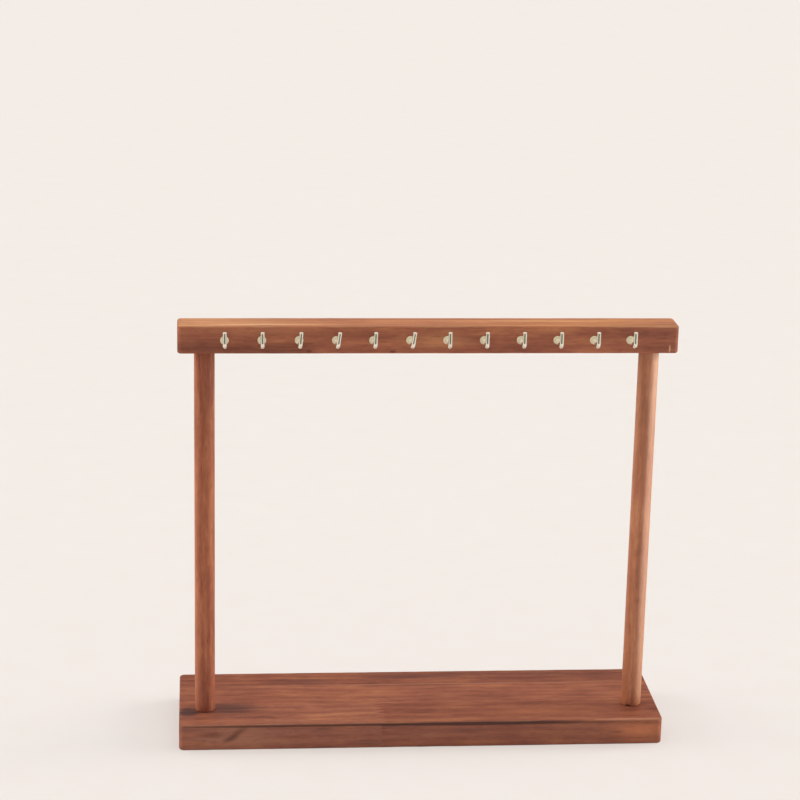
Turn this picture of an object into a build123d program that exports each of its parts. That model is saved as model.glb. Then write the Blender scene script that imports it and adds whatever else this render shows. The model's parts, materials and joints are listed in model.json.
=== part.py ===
from build123d import *
import os
from math import radians, tan

# Counter-top jewellery stand: a base board, two round posts and a top bar with a row of screw hooks.
# Millimetres, +Z up. The origin is the middle of the base board's underside.
# X runs along the bar, and the hooks face -Y.

# Base board, cut from flat stock
base_length = 291.0
base_depth = 78.0
base_thickness = 16.5
base_corner_radius = 3.0
base_edge_radius = 1.0

# Round posts, standing on the base board in front of its middle line
post_diameter = 12.0
post_length = 224.5
post_inset = 15.5  # from the end of the base board to the post's axis
post_setback = 24.0  # from the front of the base board to the post's axis
post_end_chamfer = 0.8

# Top bar, lying on the posts
bar_overhang = 15.5  # from the post's axis to the end of the bar
bar_depth = 20.0
bar_height = 16.5
bar_corner_radius = 2.5
bar_edge_radius = 1.2

# Shoulder screw hooks, bent from round wire
hook_count = 12
hook_end_margin = 27.8  # from the end of the bar to the outermost hook, on average
hook_row_shift = -0.8  # from the middle of the bar to the middle of the row
hook_wire_diameter = 2.4
hook_reach = 16.2  # from the bar's face to the axis of the upright
hook_rise = 8.8  # from the axis of the shank to the tip of the upright
hook_bend_radius = 2.4
hook_tip_chamfer = 0.4
hook_collar_diameter = 5.0
hook_collar_rim = 0.5
hook_collar_dome = 1.0
hook_screw_diameter = 2.2
hook_screw_length = 12.0
hook_screw_point = 3.0
hook_bore_clearance = 0.04
hook_bore_spare = 1.0  # depth of the bore past the screw's point
hook_turns = {3: 4.0, 4: 8.0, 5: 2.0, 6: 8.0}  # degrees that a hook stands past upright, by its number

# Countersunk screws, driven up through the base board into the posts
screw_diameter = 4.0
screw_length = 40.0
screw_point = 4.0
screw_head_diameter = 7.6
screw_head_angle = 90.0
screw_sink = 0.6  # the head's depth below the underside
screw_seat_clearance = 0.05
screw_thread_clearance = 0.04  # around the thread, in the post
screw_hole_clearance = 0.4  # around the shank, in the base board
screw_bore_spare = 2.0  # depth of the bore past the screw's point
recess_span = 4.0
recess_width = 0.9
recess_depth = 1.8
recess_taper = 6.0

# Fluted dowel pins, half in the post and half in the bar
dowel_diameter = 6.0
dowel_length = 22.0
dowel_chamfer = 0.8
dowel_flutes = 6
dowel_flute_radius = 0.4
dowel_clearance = 0.05
dowel_bore_spare = 0.6  # room for glue past each end of the pin

# Places that follow from the sizes above
post_axis = base_length / 2 - post_inset
post_row = post_setback - base_depth / 2
joint_height = base_thickness + post_length
bar_length = 2 * (post_axis + bar_overhang)
bar_face = post_row - bar_depth / 2
hook_height = joint_height + bar_height / 2
hook_pitch = (bar_length - 2 * hook_end_margin) / (hook_count - 1)
screw_slope = tan(radians(screw_head_angle / 2))
dowel_bore_radius = (dowel_diameter + dowel_clearance) / 2
dowel_bore_depth = dowel_length / 2 + dowel_bore_spare

os.makedirs("parts", exist_ok=True)

# Base board with a countersunk hole under each post
with BuildPart() as base_board:
    with BuildSketch():
        RectangleRounded(base_length, base_depth, base_corner_radius)
    extrude(amount=base_thickness)
    fillet(base_board.faces().filter_by(Axis.Z).edges(), radius=base_edge_radius)
    with Locations(Plane((0, post_row, 0)).rotated((180, 0, 0))):
        with GridLocations(2 * post_axis, 0, 2, 1):
            CounterSinkHole(
                radius=(screw_diameter + screw_hole_clearance) / 2,
                counter_sink_radius=screw_head_diameter / 2 + screw_seat_clearance + screw_sink * screw_slope,
                counter_sink_angle=screw_head_angle,
            )
base_board.part.label = "base_board"
export_step(base_board.part, "parts/base_board.step")

# Top bar with a bore for each hook in its front and a bore for each dowel pin in its underside
with BuildPart() as top_bar:
    with BuildSketch(Plane((0, post_row, joint_height))):
        RectangleRounded(bar_length, bar_depth, bar_corner_radius)
    extrude(amount=bar_height)
    fillet(top_bar.faces().filter_by(Axis.Z).edges(), radius=bar_edge_radius)
    with Locations(Plane(origin=(hook_row_shift, bar_face, hook_height), x_dir=(1, 0, 0), z_dir=(0, -1, 0))):
        with GridLocations(hook_pitch, 0, hook_count, 1):
            Hole((hook_screw_diameter + hook_bore_clearance) / 2, depth=hook_screw_length + hook_bore_spare)
    with Locations(Plane((0, post_row, joint_height)).rotated((180, 0, 0))):
        with GridLocations(2 * post_axis, 0, 2, 1):
            Hole(dowel_bore_radius, depth=dowel_bore_depth)
top_bar.part.label = "top_bar"
export_step(top_bar.part, "parts/top_bar.step")

# Each end's post, with the screw in its foot and the dowel pin in its top
for side, side_x in {"left": -post_axis, "right": post_axis}.items():
    with BuildPart() as post:
        with BuildSketch(Plane((side_x, post_row, base_thickness))):
            Circle(post_diameter / 2)
        extrude(amount=post_length)
        chamfer(post.edges().filter_by(GeomType.CIRCLE), length=post_end_chamfer)
        with Locations(Plane((side_x, post_row, base_thickness)).rotated((180, 0, 0))):
            Hole(
                (screw_diameter + screw_thread_clearance) / 2,
                depth=screw_sink + screw_length - base_thickness + screw_bore_spare,
            )
        with Locations(Plane((side_x, post_row, joint_height))):
            Hole(dowel_bore_radius, depth=dowel_bore_depth)
    post.part.label = f"{side}_post"
    export_step(post.part, f"parts/{side}_post.step")

    with BuildPart() as base_screw:
        with BuildSketch(Plane(origin=(side_x, post_row, screw_sink), x_dir=(1, 0, 0), z_dir=(0, -1, 0))):
            with BuildLine():
                Polyline(
                    (0, 0),
                    (screw_head_diameter / 2, 0),
                    (screw_diameter / 2, (screw_head_diameter - screw_diameter) / 2 / screw_slope),
                    (screw_diameter / 2, screw_length - screw_point),
                    (0, screw_length),
                    close=True,
                )
            make_face()
        revolve(axis=Axis((side_x, post_row, 0), (0, 0, 1)))
        with BuildSketch(Plane((side_x, post_row, screw_sink))):
            Rectangle(recess_span, recess_width)
            Rectangle(recess_width, recess_span)
        extrude(amount=recess_depth, taper=recess_taper, mode=Mode.SUBTRACT)
    base_screw.part.label = f"{side}_base_screw"
    export_step(base_screw.part, f"parts/{side}_base_screw.step")

    with BuildPart() as dowel_pin:
        pin_foot = Plane((side_x, post_row, joint_height - dowel_length / 2))
        with BuildSketch(pin_foot):
            Circle(dowel_diameter / 2)
        extrude(amount=dowel_length)
        chamfer(dowel_pin.edges().filter_by(GeomType.CIRCLE), length=dowel_chamfer)
        with BuildSketch(pin_foot):
            with PolarLocations(dowel_diameter / 2, dowel_flutes):
                Circle(dowel_flute_radius)
        extrude(amount=dowel_length, mode=Mode.SUBTRACT)
    dowel_pin.part.label = f"{side}_dowel_pin"
    export_step(dowel_pin.part, f"parts/{side}_dowel_pin.step")

# Screw hooks, each with its collar drawn up to the bar's face
for number in range(1, hook_count + 1):
    hook_x = (number - (hook_count + 1) / 2) * hook_pitch + hook_row_shift
    # In the hook's own plane the first axis points out of the bar and the second one up
    hook_plane = Plane(origin=(hook_x, bar_face, hook_height), x_dir=(0, -1, 0), z_dir=(-1, 0, 0))
    hook_plane = hook_plane.rotated((0, hook_turns.get(number, 0.0), 0))
    with BuildPart() as hook:
        # The screw's core and the domed collar, turned about the shank
        with BuildSketch(hook_plane):
            with BuildLine():
                Polyline(
                    (hook_collar_rim + hook_collar_dome, 0),
                    (-hook_screw_length, 0),
                    (hook_screw_point - hook_screw_length, hook_screw_diameter / 2),
                    (0, hook_screw_diameter / 2),
                    (0, hook_collar_diameter / 2),
                    (hook_collar_rim, hook_collar_diameter / 2),
                )
                TangentArc(
                    (hook_collar_rim + hook_collar_dome, 0),
                    (hook_collar_rim, hook_collar_diameter / 2),
                    tangent=(0, 1),
                )
            make_face()
        revolve(axis=Axis(hook_plane.origin, hook_plane.x_dir))
        # The wire, bent up square in front of the bar and eased at its cut end
        with BuildLine(hook_plane) as wire:
            FilletPolyline(
                (hook_collar_rim, 0),
                (hook_reach, 0),
                (hook_reach, hook_rise),
                radius=hook_bend_radius,
            )
        with BuildSketch(Plane(origin=wire.line @ 0, z_dir=wire.line % 0)):
            Circle(hook_wire_diameter / 2)
        sweep()
        chamfer(hook.faces().sort_by(Axis.Z)[-1].edges(), length=hook_tip_chamfer)
    hook.part.label = f"hook_{number:02d}"
    export_step(hook.part, f"parts/hook_{number:02d}.step")
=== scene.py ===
import json
import logging
import math
from collections.abc import Iterable
from dataclasses import dataclass
from enum import Enum

import bmesh
import bpy
from bmesh.types import BMEdge, BMesh, BMVert
from bpy.types import Collection, Material, Node, NodeSocket, NodeTree, Object
from mathutils import Matrix, Vector, noise


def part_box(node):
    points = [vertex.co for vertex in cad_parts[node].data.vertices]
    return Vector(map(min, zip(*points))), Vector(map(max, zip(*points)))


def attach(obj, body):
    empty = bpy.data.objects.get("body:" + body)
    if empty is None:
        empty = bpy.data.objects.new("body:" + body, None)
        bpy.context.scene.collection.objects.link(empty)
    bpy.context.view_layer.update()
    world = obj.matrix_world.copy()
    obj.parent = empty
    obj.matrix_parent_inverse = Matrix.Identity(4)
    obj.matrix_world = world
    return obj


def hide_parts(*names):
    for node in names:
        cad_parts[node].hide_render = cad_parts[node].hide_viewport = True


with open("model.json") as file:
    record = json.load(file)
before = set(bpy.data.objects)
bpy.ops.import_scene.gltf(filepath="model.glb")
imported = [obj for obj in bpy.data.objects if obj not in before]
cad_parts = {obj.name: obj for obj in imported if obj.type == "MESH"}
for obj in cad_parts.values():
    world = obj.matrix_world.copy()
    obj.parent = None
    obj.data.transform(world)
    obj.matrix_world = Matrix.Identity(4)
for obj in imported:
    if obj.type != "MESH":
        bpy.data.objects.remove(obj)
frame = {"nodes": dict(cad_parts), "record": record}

# A wooden jewellery stand: base board, two posts and a bar with a row of screw hooks.
# Sizes are millimetres in the frame's own axes unless a name says otherwise; meshes are in metres.

MM = 0.001
BODY = "root"
SIDES = ("left", "right")
HOOK_COUNT = 12
ALONG_BOARD = Vector((1.0, 0.0, 0.0))
INTO_BAR = Vector((0.0, 1.0, 0.0))
UPWARD = Vector((0.0, 0.0, 1.0))
WELD = 1e-7  # points of a mesh that lie this near each other, in metres, are one
LEVEL = 0.9  # a face whose normal has at least this share along Z lies level
FLAT = 0.9999  # a face whose normal has at least this share along one axis is no part of a rounding
DRILL_SEGMENTS = 32
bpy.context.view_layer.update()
LOG = logging.getLogger("jewellery_stand")

NodeInput = NodeSocket | float | str | tuple[float, ...]


def linear(hex_colour: str) -> tuple[float, float, float, float]:
    """Turn an sRGB hex colour into linear light.

    Args:
        hex_colour: six hex digits, with or without a leading hash.

    Returns:
        Linear red, green and blue, with an alpha of 1.
    """
    digits = hex_colour.lstrip("#")
    channels = (int(digits[i:i + 2], 16) / 255 for i in (0, 2, 4))
    return (*(c / 12.92 if c <= 0.04045 else ((c + 0.055) / 1.055) ** 2.4 for c in channels), 1.0)


def add_node(
    tree: NodeTree, kind: str, inputs: dict[int | str, NodeInput] | None = None, **settings: object
) -> Node:
    """Add a shader node, set it up and link its inputs.

    Args:
        tree: node tree that gets the node.
        kind: node type without its ShaderNode prefix.
        inputs: a value, a hex colour or an output socket for each input, by name or index.
        **settings: node properties, by name.

    Returns:
        The new node.
    """
    node = tree.nodes.new("ShaderNode" + kind)
    for name, value in settings.items():
        setattr(node, name, value)
    for key, value in (inputs or {}).items():
        if isinstance(value, NodeSocket):
            tree.links.new(value, node.inputs[key])
        else:
            node.inputs[key].default_value = linear(value) if isinstance(value, str) else value
    return node


def new_material(name: str) -> tuple[Material, NodeTree]:
    """Start an empty node material.

    Args:
        name: name of the material.

    Returns:
        The material and its node tree.
    """
    material = bpy.data.materials.new(name)
    material.use_nodes = True
    material.node_tree.nodes.clear()
    return material, material.node_tree


def close_material(tree: NodeTree, shader: Node) -> None:
    """Link a shader to the material's output.

    Args:
        tree: the material's node tree.
        shader: its last shader node.
    """
    add_node(tree, "OutputMaterial", {"Surface": shader.outputs[0]})


def seen_rays(tree: NodeTree) -> NodeSocket:
    """Tell the rays that show a surface, straight or in a reflection, from those that only light others.

    Args:
        tree: node tree of a material or of the world.

    Returns:
        1 for camera, glossy and transmission rays and 0 for the rest.
    """
    rays = add_node(tree, "LightPath").outputs
    seen = rays["Is Camera Ray"]
    for kind in ("Is Glossy Ray", "Is Transmission Ray"):
        seen = add_node(tree, "Math", {0: seen, 1: rays[kind]}, operation="MAXIMUM").outputs[0]
    return seen


class Grain(Enum):
    """The axis that a piece's fibres run along."""

    ALONG_X = "X"
    ALONG_Z = "Z"

    @property
    def turn(self) -> tuple[float, float, float]:
        """The turn that lays the fibres along the pattern's X axis, in radians."""
        return (0.0, math.pi / 2 if self is Grain.ALONG_Z else 0.0, 0.0)


@dataclass(frozen=True)
class Strand:
    """One scale of the wood's pattern: noise that is stretched along the grain.

    Attributes:
        length: length of a feature along the grain.
        width: its width across the grain.
        detail: octaves of finer noise.
    """

    length: float
    width: float
    detail: float = 3.0

    def lay(self, tree: NodeTree, fibre: NodeSocket) -> NodeSocket:
        """Lay the pattern along the grain.

        Args:
            tree: the material's node tree.
            fibre: coordinates along and across the grain.

        Returns:
            The pattern's value, around 0.5.
        """
        repeats = (1 / self.length, 1 / self.width, 1 / self.width)
        scaled = add_node(tree, "Mapping", {"Vector": fibre, "Scale": repeats}).outputs[0]
        return add_node(
            tree, "TexNoise", {"Vector": scaled, "Scale": 1.0, "Detail": self.detail, "Roughness": 0.55}
        ).outputs[0]


@dataclass(frozen=True)
class WoodMarkOrPaintedLight:
    """A local mark in the wood, such as a knot, a streak of heartwood or a rubbed spot, or a patch of painted
    light or painted shade.

    Attributes:
        centre: middle of the mark.
        reach: half lengths along X, Y and Z.
        colour: sRGB hex that the mark tends to.
        strength: share of that colour in the middle of the mark.
        tilt: turn about Y, in degrees.
        fray: how far the grain frays the mark's outline, as a share of its reach.
    """

    centre: tuple[float, float, float]
    reach: tuple[float, float, float]
    colour: str
    strength: float
    tilt: float = 0.0
    fray: float = 1.3

    def draw(
        self, tree: NodeTree, colour: NodeSocket, place: NodeSocket, ragged: NodeSocket
    ) -> NodeSocket:
        """Lay the mark over the wood's colour.

        Args:
            tree: the material's node tree.
            colour: colour of the wood.
            place: coordinates in millimetres.
            ragged: pattern along the grain, which frays the mark's outline.

        Returns:
            The colour with the mark.
        """
        moved = add_node(tree, "VectorMath", {0: place, 1: self.centre}, operation="SUBTRACT").outputs[0]
        tilt = (0.0, math.radians(self.tilt), 0.0)
        turned = add_node(tree, "Mapping", {"Vector": moved, "Rotation": tilt}).outputs[0]
        shrunk = add_node(tree, "VectorMath", {0: turned, 1: self.reach}, operation="DIVIDE").outputs[0]
        distance = add_node(tree, "VectorMath", {0: shrunk}, operation="LENGTH").outputs["Value"]
        ends = {0: ragged, 1: self.fray, 2: distance}
        frayed = add_node(tree, "Math", ends, operation="MULTIPLY_ADD").outputs[0]
        half = self.fray / 2
        share = add_node(
            tree, "MapRange",
            {"Value": frayed, "From Min": 1 + half, "From Max": 1 - half, "To Max": self.strength},
            interpolation_type="SMOOTHSTEP",
        ).outputs[0]
        return add_node(tree, "Mix", {0: share, 6: colour, 7: self.colour}, data_type="RGBA").outputs[2]


@dataclass(frozen=True)
class StainedWood:
    """Wood, mostly pine stained red-brown under satin lacquer: streaks, flecks, pores and rubbed edges.

    Attributes:
        name: name of the material.
        grain: the way the fibres run.
        heart: where the growth rings centre, across the grain.
        dark: sRGB hex of the late wood.
        middle: sRGB hex between the two.
        light: sRGB hex of the early wood.
        soaked: sRGB hex of the late wood on the cut ends, where the stain soaks in.
        pored: sRGB hex of the open pores.
        bare: sRGB hex of the wood where the stain is rubbed thin.
        ring_width: distance from one growth ring to the next.
        sway: long waves that bend the fibres.
        sway_reach: how far the waves bend them.
        streaks: broad streaks.
        fibres: fine streaks, drawn coarser than real fibres so that they show.
        flecks: short flecks.
        clouds: cloudy uptake of the stain.
        pores: open pores, drawn larger than real ones so that they show.
        pore_share: share of the pores' colour in a pore.
        seams: where glue lines cross the board, along Y.
        stave_shift: how far the pattern moves from one stave to the next.
        tones: tint of each stave from front to back, then of the front stave past its finger joint.
        finger_joint: where the front stave is jointed end to end, along X.
        finger_width: width of one slope of the joint's zigzag.
        finger_slope: length of a slope for each millimetre of its width.
        marks_and_painted_light: local marks, and patches of painted light and painted shade.
        box: lowest and highest corner of a board, for the wear along its upper edges.
        wear: share of bare wood along those edges.
        roughness: roughness of the lacquer.
        gloss: level of the lacquer's reflection.
        relief: depth of the grain under the lacquer.
    """

    name: str
    grain: Grain = Grain.ALONG_X
    heart: tuple[float, float] = (-110.0, -80.0)
    dark: str = "#6E4035"
    middle: str = "#985B45"
    light: str = "#B97853"
    soaked: str = "#5A3226"
    pored: str = "#4A2A22"
    bare: str = "#CE9870"
    ring_width: float = 4.5
    sway: Strand = Strand(90.0, 30.0, detail=1.0)
    sway_reach: float = 2.5
    streaks: Strand = Strand(60.0, 2.2)
    fibres: Strand = Strand(18.0, 0.7)
    flecks: Strand = Strand(7.0, 1.6)
    clouds: Strand = Strand(40.0, 16.0)
    pores: Strand = Strand(6.0, 0.5, detail=1.0)
    pore_share: float = 0.4
    seams: tuple[float, ...] = ()
    stave_shift: tuple[float, float, float] = (211.0, 0.0, 17.0)
    tones: tuple[str, ...] = ()
    finger_joint: float | None = None
    finger_width: float = 2.0
    finger_slope: float = 3.5
    marks_and_painted_light: tuple[WoodMarkOrPaintedLight, ...] = ()
    box: tuple[Vector, Vector] | None = None
    wear: float = 0.7
    roughness: float = 0.58
    gloss: float = 0.1
    relief: float = 0.12

    def material(self) -> Material:
        """Build the material.

        Returns:
            The material.
        """
        material, tree = new_material(self.name)
        metres = add_node(tree, "TexCoord").outputs["Object"]
        place = add_node(tree, "Mapping", {"Vector": metres, "Scale": (1 / MM, 1 / MM, 1 / MM)}).outputs[0]
        along = add_node(tree, "Mapping", {"Vector": place, "Rotation": self.grain.turn}).outputs[0]
        stave = self._stave_number(tree, place) if self.seams else None
        if stave is not None:
            along = self._part_staves(tree, along, stave)
        fibre = self._bend_fibres(tree, along)

        rings = self._growth_rings(tree, fibre)
        broad = self.streaks.lay(tree, fibre)
        fine = self.fibres.lay(tree, fibre)
        fleck = self.flecks.lay(tree, fibre)
        cloud = self.clouds.lay(tree, along)
        parts = ((rings, 0.12), (broad, 0.4), (fine, 0.35), (fleck, 0.4), (cloud, 0.8))
        # Each part lies around 0.5, and the start keeps their sum there
        tone = self._weighted(tree, parts, 0.5 - sum(weight for _, weight in parts) / 2)

        colour = self._stain(tree, tone)
        if stave is not None:
            colour = self._tint_staves(tree, colour, stave)
        # Lay the marks; in some finishes these are painted light and painted shade.
        for mark_or_light in self.marks_and_painted_light:
            colour = mark_or_light.draw(tree, colour, place, broad)
        colour = self._show_end_grain(tree, colour, rings)
        pore = self._open_pores(tree, fibre)
        share = add_node(tree, "Math", {0: pore, 1: self.pore_share}, operation="MULTIPLY").outputs[0]
        colour = add_node(tree, "Mix", {0: share, 6: colour, 7: self.pored}, data_type="RGBA").outputs[2]
        if self.box is not None:
            colour = self._wear_edges(tree, colour, place, cloud)

        height = self._weighted(tree, ((fine, 0.6), (broad, 0.4), (pore, -0.8)), 0.0)
        bump = add_node(tree, "Bump", {"Strength": 0.25, "Distance": self.relief * MM, "Height": height})
        vary = 0.05
        sheen = {"Value": tone, "To Min": self.roughness + vary, "To Max": self.roughness - vary}
        roughness = add_node(tree, "MapRange", sheen).outputs[0]
        shader = add_node(
            tree, "BsdfPrincipled",
            {"Base Color": colour, "Roughness": roughness, "IOR": 1.5, "Specular IOR Level": self.gloss,
             "Normal": bump.outputs[0]},
        )
        close_material(tree, shader)
        return material

    @staticmethod
    def _weighted(tree: NodeTree, parts: Iterable[tuple[NodeSocket, float]], start: float) -> NodeSocket:
        """Add values up by weight.

        Args:
            tree: the material's node tree.
            parts: each value with its weight.
            start: value that the sum starts from.

        Returns:
            The sum.
        """
        total: NodeInput = start
        for value, weight in parts:
            step = add_node(tree, "Math", {0: value, 1: weight, 2: total}, operation="MULTIPLY_ADD")
            total = step.outputs[0]
        return total

    def _stave_number(self, tree: NodeTree, place: NodeSocket) -> NodeSocket:
        """Number the staves that the board is glued up from, front to back.

        Args:
            tree: the material's node tree.
            place: coordinates in millimetres.

        Returns:
            The stave's number, counted from 0, with the jointed end of the front stave last.
        """
        axes = add_node(tree, "SeparateXYZ", {0: place}).outputs
        number: NodeInput = 0.0
        for seam in self.seams:
            behind = add_node(tree, "Math", {0: axes["Y"], 1: seam}, operation="GREATER_THAN").outputs[0]
            number = add_node(tree, "Math", {0: behind, 1: number}, operation="ADD").outputs[0]
        if self.finger_joint is not None:
            zigzag = add_node(tree, "Math", {0: axes["Y"], 1: self.finger_width}, operation="PINGPONG")
            slope = {0: zigzag.outputs[0], 1: self.finger_slope, 2: self.finger_joint}
            joint = add_node(tree, "Math", slope, operation="MULTIPLY_ADD").outputs[0]
            past = add_node(tree, "Math", {0: axes["X"], 1: joint}, operation="GREATER_THAN").outputs[0]
            front = add_node(tree, "Math", {0: axes["Y"], 1: self.seams[0]}, operation="LESS_THAN").outputs[0]
            jointed = add_node(tree, "Math", {0: past, 1: front}, operation="MULTIPLY").outputs[0]
            renumber = {0: jointed, 1: float(len(self.seams) + 1), 2: number}
            number = add_node(tree, "Math", renumber, operation="MULTIPLY_ADD").outputs[0]
        return number

    def _part_staves(self, tree: NodeTree, along: NodeSocket, stave: NodeSocket) -> NodeSocket:
        """Take each stave's pattern from another stretch of wood.

        Args:
            tree: the material's node tree.
            along: coordinates along and across the grain.
            stave: number of the stave.

        Returns:
            The moved coordinates.
        """
        count = add_node(tree, "CombineXYZ", {0: stave, 1: 0.0, 2: stave}).outputs[0]
        shift = add_node(tree, "VectorMath", {0: count, 1: self.stave_shift}, operation="MULTIPLY").outputs[0]
        return add_node(tree, "VectorMath", {0: along, 1: shift}, operation="ADD").outputs[0]

    def _bend_fibres(self, tree: NodeTree, along: NodeSocket) -> NodeSocket:
        """Bend the fibres in long waves, so that no streak runs dead straight.

        Args:
            tree: the material's node tree.
            along: coordinates along and across the grain.

        Returns:
            The bent coordinates.
        """
        sway = self.sway.lay(tree, along)
        bounds = {"Value": sway, "To Min": -self.sway_reach, "To Max": self.sway_reach}
        aside = add_node(tree, "MapRange", bounds).outputs[0]
        bend = add_node(tree, "CombineXYZ", {0: 0.0, 1: aside, 2: aside}).outputs[0]
        return add_node(tree, "VectorMath", {0: along, 1: bend}, operation="ADD").outputs[0]

    def _growth_rings(self, tree: NodeTree, fibre: NodeSocket) -> NodeSocket:
        """Lay growth rings around the heart.

        Args:
            tree: the material's node tree.
            fibre: coordinates along and across the fibres.

        Returns:
            A wave between 0 and 1, with one crest in each ring.
        """
        shift = (0.0, -self.heart[0], -self.heart[1])
        from_heart = add_node(tree, "Mapping", {"Vector": fibre, "Location": shift}).outputs[0]
        # The wave's rings lie pi / 10 apart at a scale of 1
        scale = math.pi / 10 / self.ring_width
        return add_node(
            tree, "TexWave",
            {"Vector": from_heart, "Scale": scale, "Distortion": 2.0, "Detail": 2.0, "Detail Scale": 0.3},
            wave_type="RINGS", rings_direction="X", wave_profile="SIN",
        ).outputs["Fac"]

    def _stain(self, tree: NodeTree, tone: NodeSocket) -> NodeSocket:
        """Colour the wood from its late to its early wood.

        Args:
            tree: the material's node tree.
            tone: the wood's tone, around 0.5.

        Returns:
            The colour.
        """
        ramp = add_node(tree, "ValToRGB", {"Fac": tone})
        late, early = ramp.color_ramp.elements
        late.position = 0.15
        late.color = linear(self.dark)
        early.position = 0.85
        early.color = linear(self.light)
        ramp.color_ramp.elements.new(0.5).color = linear(self.middle)
        return ramp.outputs["Color"]

    def _tint_staves(self, tree: NodeTree, colour: NodeSocket, stave: NodeSocket) -> NodeSocket:
        """Give each stave its own tone.

        Args:
            tree: the material's node tree.
            colour: colour of the wood.
            stave: number of the stave.

        Returns:
            The tinted colour.
        """
        bounds = {"Value": stave, "From Min": -0.5, "From Max": len(self.tones) - 0.5}
        ramp = add_node(tree, "ValToRGB", {"Fac": add_node(tree, "MapRange", bounds).outputs[0]})
        ramp.color_ramp.interpolation = "CONSTANT"
        stops = ramp.color_ramp.elements
        stops[0].color = linear(self.tones[0])
        stops[1].position = 1 / len(self.tones)
        stops[1].color = linear(self.tones[1])
        for index, tone in enumerate(self.tones[2:], start=2):
            stops.new(index / len(self.tones)).color = linear(tone)
        return add_node(
            tree, "Mix", {0: 1.0, 6: colour, 7: ramp.outputs[0]}, data_type="RGBA", blend_type="MULTIPLY"
        ).outputs[2]

    def _show_end_grain(self, tree: NodeTree, colour: NodeSocket, rings: NodeSocket) -> NodeSocket:
        """Darken the cut ends, where the growth rings show.

        Args:
            tree: the material's node tree.
            colour: colour of the wood.
            rings: the growth rings.

        Returns:
            The colour with its end grain.
        """
        facing = add_node(tree, "NewGeometry").outputs["Normal"]
        lengthwise = add_node(tree, "SeparateXYZ", {0: facing}).outputs[self.grain.value]
        square_on = add_node(tree, "Math", {0: lengthwise}, operation="ABSOLUTE").outputs[0]
        cut_end = add_node(
            tree, "MapRange", {"Value": square_on, "From Min": 0.7, "From Max": 0.97},
            interpolation_type="SMOOTHSTEP",
        ).outputs[0]
        bounds = {"Value": rings, "From Min": 0.4, "From Max": 0.9, "To Min": 0.2, "To Max": 0.65}
        late_wood = add_node(tree, "MapRange", bounds).outputs[0]
        share = add_node(tree, "Math", {0: cut_end, 1: late_wood}, operation="MULTIPLY").outputs[0]
        return add_node(tree, "Mix", {0: share, 6: colour, 7: self.soaked}, data_type="RGBA").outputs[2]

    def _open_pores(self, tree: NodeTree, fibre: NodeSocket) -> NodeSocket:
        """Open pores along the fibres, which take more stain than the wood between them.

        Args:
            tree: the material's node tree.
            fibre: coordinates along and across the fibres.

        Returns:
            1 in a pore and 0 between the pores.
        """
        pores = self.pores.lay(tree, fibre)
        return add_node(
            tree, "MapRange", {"Value": pores, "From Min": 0.62, "From Max": 0.76},
            interpolation_type="SMOOTHSTEP",
        ).outputs[0]

    def _wear_edges(
        self, tree: NodeTree, colour: NodeSocket, place: NodeSocket, patchy: NodeSocket
    ) -> NodeSocket:
        """Rub the stain thin along a board's upper edges.

        Args:
            tree: the material's node tree.
            colour: colour of the wood.
            place: coordinates in millimetres.
            patchy: pattern that breaks up the wear.

        Returns:
            The colour with its worn edges.
        """
        low, high = (corner / MM for corner in self.box)
        patch_reach = 3.0
        middle = (low.y + high.y) / 2
        axes = add_node(tree, "SeparateXYZ", {0: place}).outputs
        from_middle = add_node(tree, "Math", {0: axes["Y"], 1: middle}, operation="SUBTRACT").outputs[0]
        aside = add_node(tree, "Math", {0: from_middle}, operation="ABSOLUTE").outputs[0]
        inward = add_node(tree, "Math", {0: high.y - middle, 1: aside}, operation="SUBTRACT").outputs[0]
        below = add_node(tree, "Math", {0: high.z, 1: axes["Z"]}, operation="SUBTRACT").outputs[0]
        edge = add_node(tree, "Math", {0: inward, 1: below}, operation="MAXIMUM").outputs[0]
        patches = {0: patchy, 1: patch_reach, 2: edge}
        broken = add_node(tree, "Math", patches, operation="MULTIPLY_ADD").outputs[0]
        share = add_node(
            tree, "MapRange", {"Value": broken, "From Min": 2.4, "From Max": 1.4, "To Max": self.wear},
            interpolation_type="SMOOTHSTEP",
        ).outputs[0]
        return add_node(tree, "Mix", {0: share, 6: colour, 7: self.bare}, data_type="RGBA").outputs[2]


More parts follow.
